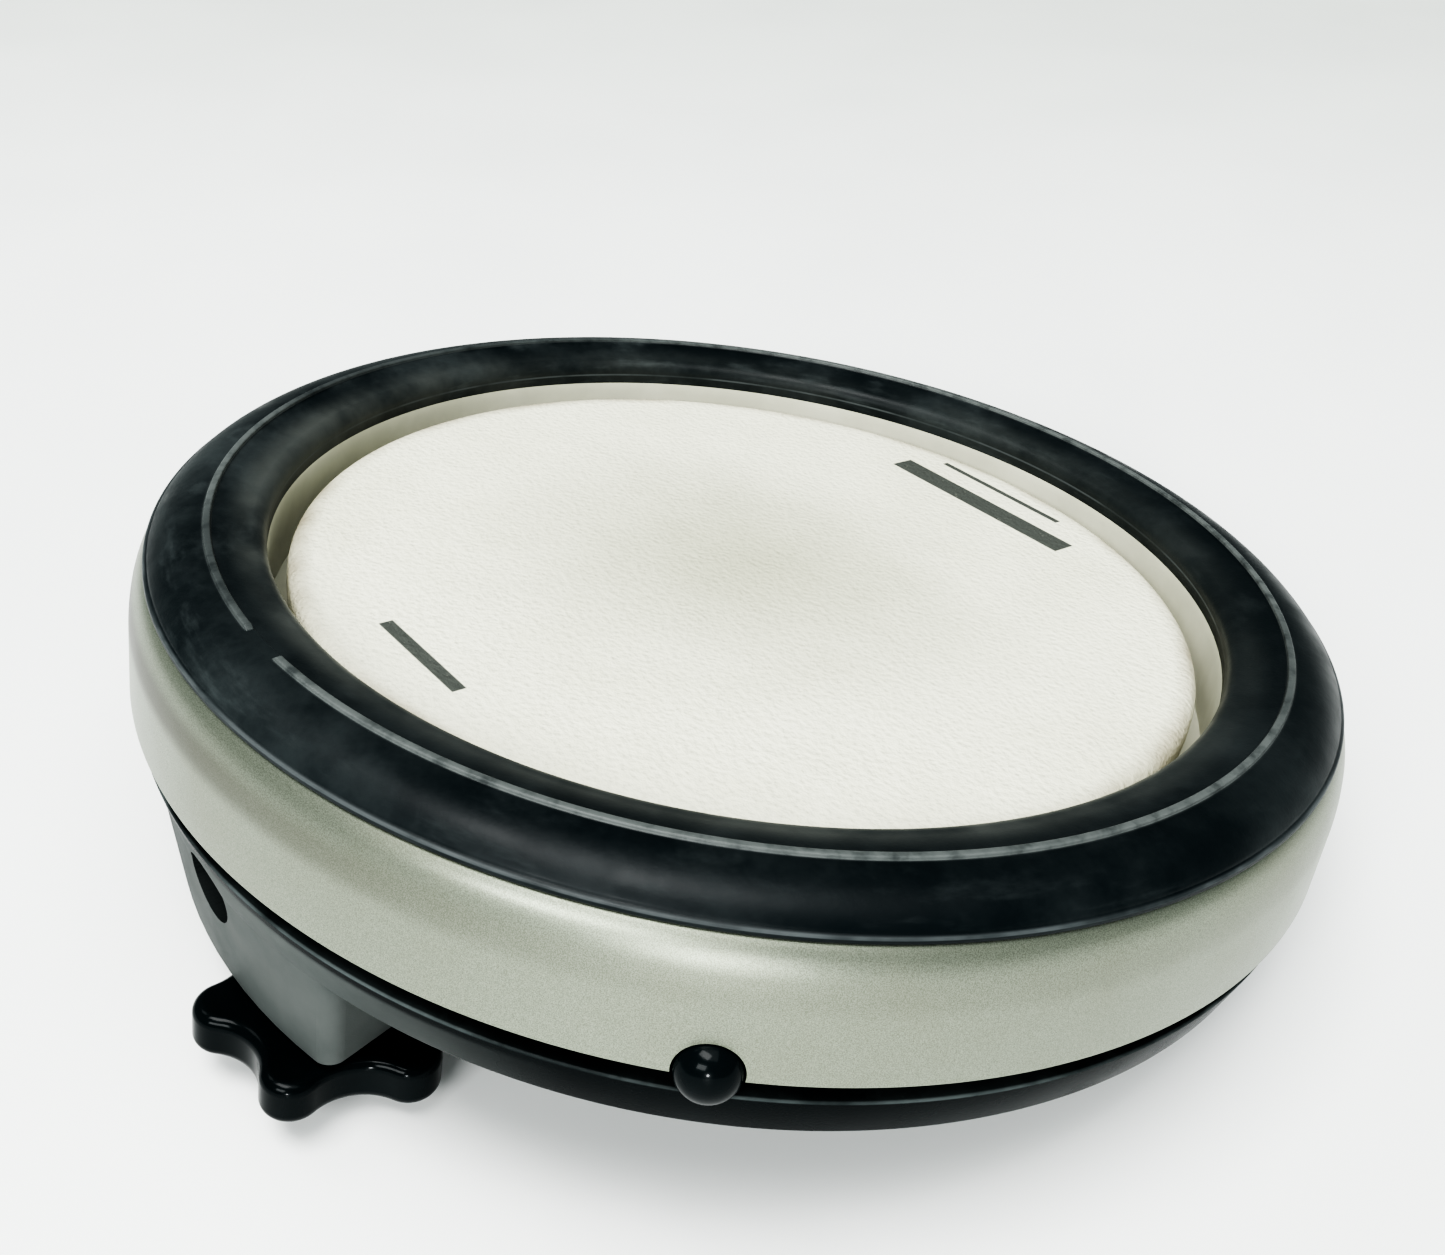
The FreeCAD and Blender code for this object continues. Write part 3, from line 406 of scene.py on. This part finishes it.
def shell_material():
    """Champagne-silver paint: fine flake, aged patches, and a painted dark band below the
    shoulder that stands for a reflection, darker on the -X side.
    """
    made = Shader("shell_paint", Metallic=0.8, Specular_IOR_Level=0.3)
    flake = made.noise(5200.0, 2.0, 0.7)
    cloud = made.noise(18.0, 4.0, 0.6)
    tone = made.mix(made.ramp(flake, 0.35, 0.65), rgb(0.158, 0.176, 0.134),
                    rgb(0.262, 0.285, 0.229))
    aged = made.mix(made.times(made.ramp(cloud, 0.45, 0.8), 0.35), tone,
                    rgb(0.18, 0.18, 0.128))
    x, _, z = made.axes()
    # A painted dark band below the shoulder, standing for a dark reflection and strongest on the
    # -X side.
    shoulder = made.window(z, 0.0265, 0.0305, 0.0325, 0.0358)
    painted_dark_band = made.times(shoulder, made.ramp(x, -0.08, 0.11, 1.0, 0.12))
    made.set("Base Color", made.mix(painted_dark_band, aged, rgb(0.052, 0.048, 0.036)))
    made.set("Roughness", made.ramp(cloud, 0.3, 0.7, 0.34, 0.41))
    made.bump(flake, 0.000012)
    return made


def case_material():
    """Black moulding: polished round the tray's wall, and a stippled clamp housing whose greyer
    tone is partly grain and partly a painted sheen, with painted shade in the rod's hole and a
    painted highlight along the tray's lip.
    """
    made = Shader("case_plastic", Specular_IOR_Level=0.04)
    x, y, z = made.axes()
    beside = made.times(made.ramp(made.math("ABSOLUTE", x), 0.028, 0.080, 1.0, 0.0),
                        made.ramp(y, -0.08, -0.06, 1.0, 0.0))
    above = made.times(beside, made.ramp(z, 0.0064, 0.0080, 1.0, 0.0))
    below = made.math("MAXIMUM", made.ramp(z, -0.0014, -0.0004, 1.0, 0.0), above)
    # Inside the rod's hole the housing tone gives way to the black wall tone: painted shade in
    # the hole.
    off_rod = made.reach(x, made.math("ADD", z, ROD_DROP * MM))
    hole = made.times(made.ramp(off_rod, 0.0069, 0.0072, 1.0, 0.0),
                      made.ramp(y, -0.09, -0.08, 1.0, 0.0))
    low = made.times(below, made.math("SUBTRACT", 1.0, hole))
    cloud = made.ramp(made.noise(34.0, 4.0, 0.6), 0.3, 0.7)
    wall = made.mix(cloud, rgb(0.0012, 0.0028, 0.0034), rgb(0.0024, 0.0048, 0.0056))
    # The housing's greyer tone: partly its matte grain, partly a painted sheen.
    housing = made.mix(cloud, rgb(0.060, 0.068, 0.066), rgb(0.080, 0.087, 0.084))
    # A painted highlight line along the tray's lip.
    lip = made.window(z, 0.0089, 0.0092, 0.0094, 0.0096)
    highlight_line = made.times(lip, made.ramp(made.noise(45.0, 4.0, 0.6), 0.35, 0.65, 0.15, 0.8))
    toned = made.mix(low, wall, housing)
    made.set("Base Color", made.mix(highlight_line, toned, rgb(0.085, 0.100, 0.100)))
    gloss = made.ramp(made.noise(90.0, 3.0, 0.6), 0.3, 0.7, 0.22, 0.30)
    made.set("Roughness", made.math("ADD", gloss, made.times(low, 0.30)))
    made.bump(made.noise(2600.0, 2.0, 0.5), 0.00003)
    return made


def build_materials():
    """One material for each slot of the record."""
    made = {
        "head": head_material(),
        "rim_rubber": rubber_material(),
        "shell": shell_material(),
        "frame": grained("frame_plastic", rgb(0.50, 0.50, 0.40), rgb(0.60, 0.60, 0.49), 0.42,
                         0.06, 1800.0, 0.00002),
        "case_black": case_material(),
        "knob_black": grained("knob_gloss", rgb(0.0018, 0.0038, 0.0045),
                              rgb(0.0036, 0.0066, 0.0076), 0.20, 0.04, 700.0, 0.000006,
                              Specular_IOR_Level=0.05, Coat_Weight=0.08, Coat_Roughness=0.03),
        "plate_steel": brushed("plate_steel", rgb(0.55, 0.56, 0.57), 0.38, (40, 900, 900)),
        "foam": grained("foam", rgb(0.05, 0.05, 0.055), rgb(0.10, 0.10, 0.105), 0.9, 0.05, 1300.0,
                        0.0002),
        "sensor_brass": brushed("sensor_brass", rgb(0.78, 0.62, 0.30), 0.3, (700, 60, 60)),
        "switch_film": grained("switch_film", rgb(0.50, 0.58, 0.56), rgb(0.56, 0.63, 0.61), 0.3,
                               0.05, 900.0, 0.00001),
        "screw_steel": brushed("screw_steel", rgb(0.20, 0.205, 0.21), 0.34, (300, 300, 1500)),
        "clamp_cast": grained("clamp_cast", rgb(0.42, 0.43, 0.44), rgb(0.52, 0.53, 0.54), 0.5,
                              0.06, 1500.0, 0.00006, Metallic=1.0),
        "bolt_steel": brushed("bolt_steel", rgb(0.62, 0.62, 0.60), 0.28, (80, 80, 1400)),
        "jack_black": grained("jack_black", rgb(0.02, 0.02, 0.02), rgb(0.03, 0.03, 0.03), 0.45,
                              0.05, 1500.0, 0.00003),
        "nickel": brushed("nickel", rgb(0.72, 0.70, 0.66), 0.2, (900, 60, 900)),
        "board_green": grained("board_green", rgb(0.03, 0.17, 0.08), rgb(0.05, 0.22, 0.11), 0.35,
                               0.05, 600.0, 0.00002),
        "lead_grey": grained("lead_grey", rgb(0.20, 0.20, 0.21), rgb(0.26, 0.26, 0.27), 0.5,
                             0.05, 1200.0, 0.00002),
        "label_silver": grained("label_film", rgb(0.55, 0.56, 0.57), rgb(0.61, 0.62, 0.63), 0.35,
                                0.05, 500.0, 0.00001),
    }
    return {slot: shader.material for slot, shader in made.items()}


def dress_nodes(materials):
    """Give every CAD node the material of its record slot."""
    for row in frame["record"]["subparts"]:
        mesh = frame["nodes"][row["node"]].data
        mesh.materials.clear()
        mesh.materials.append(materials[row["material_slot"]])


# ---- pieces that stand for CAD nodes ----


def make_head():
    """The silicone head: a thick disc, barely crowned, with a soft rolled edge."""
    shares = [k / CROWN_RINGS for k in range(1, CROWN_RINGS + 1)]
    crown = [(HEAD_FLAT_RADIUS - HEAD_FLAT_RADIUS * share, 35.75 + 0.25 * share)
             for share in shares]
    section = [(0, 28), (94, 28), (96.4, 28.1), (97.3, 28.8, 1.2, 4), (97.5, 30), (97.5, 32.8),
               (HEAD_FLAT_RADIUS, 35.75, 3.0, 12)] + crown
    piece = add_object("head_skin", turned("head_skin", section, 192), "head")
    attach(piece, "root")
    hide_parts("playing_head")


def rim_wave(r, z, a):
    """Lowers the ridge where it is interrupted at the clamp's side."""
    if z < 45.95 or abs(r - RIDGE_RADIUS) > 1.2:
        return r, z
    off = abs((math.degrees(a) - 270 + 180) % 360 - 180)
    share = min(max((off - 2.5) / 0.5, 0.0), 1.0)
    return r, 46.0 - 0.04 * (1 - share) + (z - 46.0) * share


def make_rim():
    """The rubber rim: a bead over the seam, a long curve, a thin ridge, an inner shoulder."""
    section = [(101.5, 38), (104, 38), (104, 39.1), (123.6, 39.1), (124.4, 39.3, 0.6, 4),
               (124.65, 39.95, 0.6, 5), (124.3, 40.55, 0.6, 5), (123.95, 40.7),
               (123.75, 41.0, -0.5, 4), (113.85, 46.0, 12.4, 30), (113.65, 46.35, -0.4, 4),
               (113.3, 46.7, 0.35, 4), (112.5, 46.7), (112.2, 46.35, 0.35, 4),
               (111.95, 45.85, -0.6, 4), (104.9, 44.3, 60.0, 6), (101.5, 41.2, 3.6, 12)]
    piece = add_object("rim_skin", turned("rim_skin", section, RIM_TURNS, rim_wave), "rim_rubber")
    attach(piece, "root")
    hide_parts("rubber_rim")


def make_shell():
    """The painted shell with its ledge and screw posts, and the side control's notch."""
    section = [(125.0, 13.9), (126.9, 13.9), (127.4, 14.4, 0.5, 6), (127.35, 27.5),
               (126.9, 32.5, 30.0, 8), (125.75, 36.4, 14.0, 8), (124.2, 38.6, 7.0, 8),
               (123.2, 39.0, 1.4, 6), (121.5, 39.0), (121.5, 36.5), (108, 36.5), (108, 34),
               (122.6, 34), (124.8, 24.3)]
    wall = turned("shell_wall", section, SHELL_TURNS)
    meshes = [carve(wall, notch_cutter())]
    for k in range(POSTS):
        turn = TAU * (k + 0.5) / POSTS
        post = turned("post", [(1.55, 8), (4, 8), (4, 34.5), (1.55, 34.5)], 32)
        spot = Vector((math.cos(turn), math.sin(turn), 0)) * POST_CIRCLE * MM
        meshes.append(moved(post, Matrix.Translation(spot)))
    piece = add_object("shell_skin", joined("shell_skin", meshes), "shell")
    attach(piece, "root")
    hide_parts("upper_shell")


def make_tray_band():
    """The polished band round the tray's wall, from its lip down to the underside's edge."""
    section = [(121.8, 0.4), (BASE_EDGE_RADIUS, 0.0), (123.15, 0.75, 0.95, 8), (125.85, 9.0),
               (125.4, 9.52, 0.5, 8), (122.0, 9.52)]
    wall = turned("tray_band", section, SHELL_TURNS)
    band = carve(carve(wall, notch_cutter()), rod_cutter())
    piece = add_object("tray_band", band, "case_black")
    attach(piece, "root")


def make_control():
    """The polished side control: a domed cap with a soft edge."""
    section = [(3.02, 117.5), (5.3, 117.5), (5.6, 117.8, 0.3, 4), (5.6, 126.2),
               (4.9, 128.6, 4.4, 14), (2.9, 130.4, 4.6, 12), (0, 131.0, 6.6, 14), (0, 125),
               (3.02, 125)]
    mesh = turned("control_cap", section, 128)
    piece = add_object("control_cap", moved(mesh, control_frame()), "knob_black")
    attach(piece, "control")
    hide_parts("control_knob")


# ---- floor, light and camera ----


def resting_plane():
    """The tilt and height of the floor: the pad leans on its star knob and its far base edge."""
    low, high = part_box("clamp_knob")
    centre = Vector(((low.x + high.x) / 2, (low.y + high.y) / 2, 0))
    along = centre.normalized()
    reach = (high.x - low.x) / 2 - LOBE_ROUNDING * MM
    near = along * (centre.length - reach) + Vector((0, 0, low.z))
    far = along * (-BASE_EDGE_RADIUS * MM)
    slope = (near.z - far.z) / (near - far).dot(along)
    normal = Vector((-slope * along.x, -slope * along.y, 1)).normalized()
    return far - normal * FLOOR_GAP * MM, normal


def make_floor():
    """A wide, plain, pale table top that lies where the pad rests, with painted shade darkening
    it towards the far side.
    """
    spot, normal = resting_plane()
    mesh = bpy.data.meshes.new("floor")
    bm = bmesh.new()
    bmesh.ops.create_grid(bm, x_segments=8, y_segments=8, size=FLOOR_HALF)
    turn = Vector((0, 0, 1)).rotation_difference(normal).to_matrix().to_4x4()
    bmesh.ops.transform(bm, matrix=Matrix.Translation(spot) @ turn, verts=bm.verts)
    bm.to_mesh(mesh)
    bm.free()
    floor = bpy.data.objects.new("floor", mesh)
    bpy.context.scene.collection.objects.link(floor)
    made = Shader("floor_paint")
    x, y, _ = made.axes()
    pale = made.mix(made.ramp(made.noise(3.0, 4.0), 0.3, 0.7),
                    rgb(0.86, 0.87, 0.86), rgb(0.89, 0.90, 0.89))
    # Painted shade: the floor darkens towards the far side, away from the camera.
    distance = made.ramp(made.math("SUBTRACT", y, x), 0.25, 1.1)
    made.set("Base Color", made.mix(distance, pale, rgb(0.73, 0.76, 0.72)))
    made.set("Roughness", made.ramp(made.noise(9.0, 3.0), 0.3, 0.7, 0.45, 0.6))
    mesh.materials.append(made.material)


def add_area(name, place, aim, size, power, colour):
    lamp = bpy.data.lights.new(name, "AREA")
    lamp.shape = "RECTANGLE"
    lamp.size, lamp.size_y = size
    lamp.energy = power
    lamp.color = colour
    holder = bpy.data.objects.new(name, lamp)
    holder.location = place
    holder.rotation_euler = (Vector(aim) - Vector(place)).to_track_quat("-Z", "Y").to_euler()
    bpy.context.scene.collection.objects.link(holder)


def make_light():
    """Soft studio light from above the clamp's side, in a dim and even surround."""
    world = bpy.data.worlds.new("studio")
    world.use_nodes = True
    sky = world.node_tree.nodes["Background"]
    sky.inputs["Color"].default_value = rgb(0.86, 0.98, 0.98)
    sky.inputs["Strength"].default_value = 0.17
    bpy.context.scene.world = world
    add_area("key_panel", (0.27, -1.29, 2.7), (0, 0, 0), (1.8, 1.0), 44.0, (1.0, 0.995, 0.98))
    add_area("ceiling_panel", (0.8, -0.7, 3.0), (0, 0, 0), (2.6, 2.2), 26.0, (0.98, 1.0, 0.99))
    add_area("front_panel", (0.95, -2.0, 1.0), (0, 0, 0.02), (1.1, 0.7), 19.0, (0.98, 1.0, 0.99))
    add_area("side_panel", (-1.6, -1.2, 2.4), (0, 0, 0), (0.9, 0.7), 4.0, (1.0, 1.0, 0.98))
    add_area("window", (1.62, -1.46, 0.06), (0, 0, 0.02), (0.2, 0.22), 9.0, (0.98, 1.0, 1.0))


def make_camera():
    """The camera stands near the +X, -Y side, rolled a little because the pad leans."""
    lens = bpy.data.cameras.new("camera")
    lens.sensor_width = 36.0
    lens.sensor_fit = "HORIZONTAL"
    lens.lens = 37.77
    lens.shift_x = 0.0135
    lens.shift_y = -0.087
    lens.clip_start = 0.01
    holder = bpy.data.objects.new("camera", lens)
    right = Vector((0.63104, 0.76415, 0.13362)).normalized()
    ahead = Vector((-0.66356, 0.62094, -0.41728)).normalized()
    up = right.cross(ahead).normalized()
    turn = Matrix((right, up, -ahead)).transposed().to_4x4()
    holder.matrix_world = Matrix.Translation((0.20917, -0.21173, 0.18563)) @ turn
    bpy.context.scene.collection.objects.link(holder)
    bpy.context.scene.camera = holder


# ---- put together ----

film = bpy.context.scene.view_settings
film.view_transform = "AgX"
film.look = "AgX - Very High Contrast"
film.exposure = 0.9

materials = build_materials()
dress_nodes(materials)
for make_piece in (make_head, make_rim, make_shell, make_tray_band, make_control):
    make_piece()
make_floor()
make_light()
make_camera()
